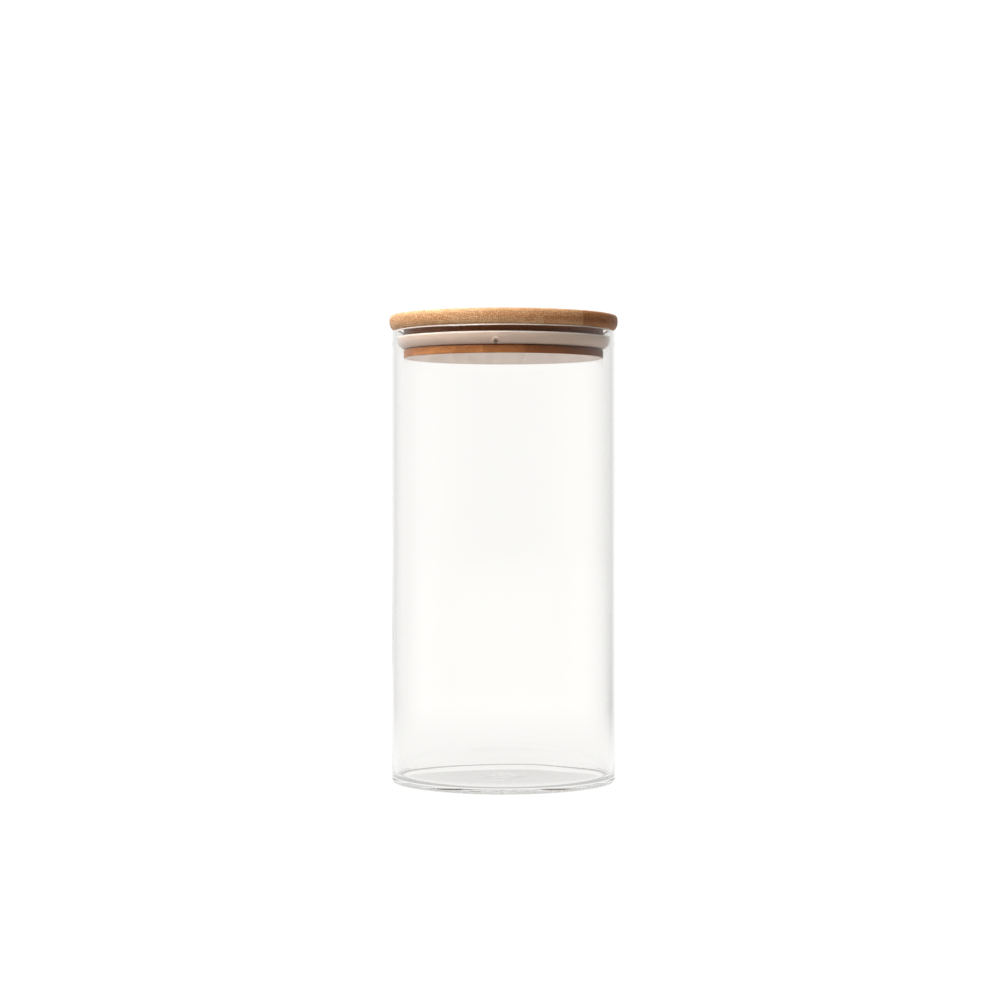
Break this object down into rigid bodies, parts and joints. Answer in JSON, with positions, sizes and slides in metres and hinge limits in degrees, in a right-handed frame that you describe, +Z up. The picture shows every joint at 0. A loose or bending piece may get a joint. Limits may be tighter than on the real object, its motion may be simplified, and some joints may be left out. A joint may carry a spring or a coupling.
{
  "type": "food canister",
  "caption": "Tall round clear glass storage canister with a laminated bamboo plug lid and a silicone lip seal; the lid lifts out and turns in its seal.",
  "frame": {"origin": "centre of the jar's foot, on the surface it stands on", "axes": "+Z up along the jar's axis; the lid's bamboo fibres run along Y, and its strips lie side by side along X"},
  "size_m": [0.122, 0.122, 0.2483],
  "materials": {
    "glass": "clear blown borosilicate, fire-polished rim",
    "silicone": "translucent milky silicone, satin",
    "cap_bamboo": "sanded natural bamboo, satin clear oil",
    "plug_bamboo": "sanded natural bamboo, satin clear oil"
  },
  "bodies": {
    "jar": {"glass_jar": "glass"},
    "seal": {"silicone_seal": "silicone"},
    "lid": {"cap_lower_strip_1": "cap_bamboo", "cap_lower_strip_2": "cap_bamboo", "cap_lower_strip_3": "cap_bamboo", "cap_lower_strip_4": "cap_bamboo", "cap_lower_strip_5": "cap_bamboo", "cap_lower_strip_6": "cap_bamboo", "cap_upper_strip_1": "cap_bamboo", "cap_upper_strip_2": "cap_bamboo", "cap_upper_strip_3": "cap_bamboo", "cap_upper_strip_4": "cap_bamboo", "cap_upper_strip_5": "cap_bamboo", "cap_upper_strip_6": "cap_bamboo", "plug_lower_strip_1": "plug_bamboo", "plug_lower_strip_2": "plug_bamboo", "plug_lower_strip_3": "plug_bamboo", "plug_lower_strip_4": "plug_bamboo", "plug_lower_strip_5": "plug_bamboo", "plug_middle_strip_1": "plug_bamboo", "plug_middle_strip_2": "plug_bamboo", "plug_middle_strip_3": "plug_bamboo", "plug_middle_strip_4": "plug_bamboo", "plug_middle_strip_5": "plug_bamboo", "plug_upper_strip_1": "plug_bamboo", "plug_upper_strip_2": "plug_bamboo", "plug_upper_strip_3": "plug_bamboo", "plug_upper_strip_4": "plug_bamboo", "plug_upper_strip_5": "plug_bamboo"}
  },
  "joints": [
    {"name": "lid_lift", "type": "slide", "parent": "jar", "child": "seal", "axis": [0, 0, 1], "range_m": [0, 0.13]},
    {"name": "lid_turn", "type": "hinge", "parent": "seal", "child": "lid", "pos_m": [0, 0, 0.2325], "axis": [0, 0, 1], "continuous": true}
  ]
}
